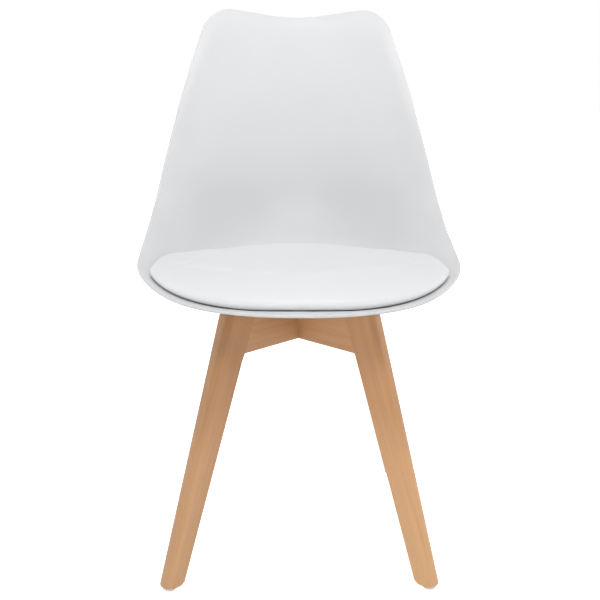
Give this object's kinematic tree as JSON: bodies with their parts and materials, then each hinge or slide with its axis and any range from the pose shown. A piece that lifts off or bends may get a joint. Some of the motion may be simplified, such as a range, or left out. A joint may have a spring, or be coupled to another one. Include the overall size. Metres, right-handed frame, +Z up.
{
  "type": "dining chair",
  "caption": "Moulded bucket chair shell with an upholstered round seat pad, on a crossed wooden beam frame with splayed tapered legs.",
  "frame": {"origin": "on the floor, at the bottom centre of the bounding box", "axes": "+Z up, +Y to the rear (the backrest), -Y to the front lip of the seat, +X to the right as seen from the front; left and right in the names are as seen from the front"},
  "size_m": [0.4794, 0.539, 0.819],
  "materials": {
    "shell_white": "satin",
    "insert_brass": "knurled",
    "leatherette_white": "smooth satin",
    "foam": "open-cell foam",
    "plywood": "raw",
    "beech": "clear satin lacquer",
    "beech_dowel": "raw",
    "black_steel": "black zinc",
    "zinc_steel": "zinc plated",
    "glide_nylon": "matt"
  },
  "bodies": {
    "root": {"seat_shell": "shell_white", "shell_inserts": "insert_brass", "cushion_cover": "leatherette_white", "cushion_foam": "foam", "cushion_board": "plywood", "cover_staples": "zinc_steel", "tee_nuts": "zinc_steel", "pad_screws": "zinc_steel", "pad_washers": "zinc_steel", "beam_lower": "beech", "beam_upper": "beech", "leg_front_left": "beech", "leg_front_right": "beech", "leg_rear_right": "beech", "leg_rear_left": "beech", "leg_dowels": "beech_dowel", "frame_bolts": "black_steel", "spring_washers": "zinc_steel", "flat_washers": "zinc_steel", "glide_front_left": "glide_nylon", "glide_front_right": "glide_nylon", "glide_rear_right": "glide_nylon", "glide_rear_left": "glide_nylon", "glide_nails": "zinc_steel"}
  },
  "joints": []
}
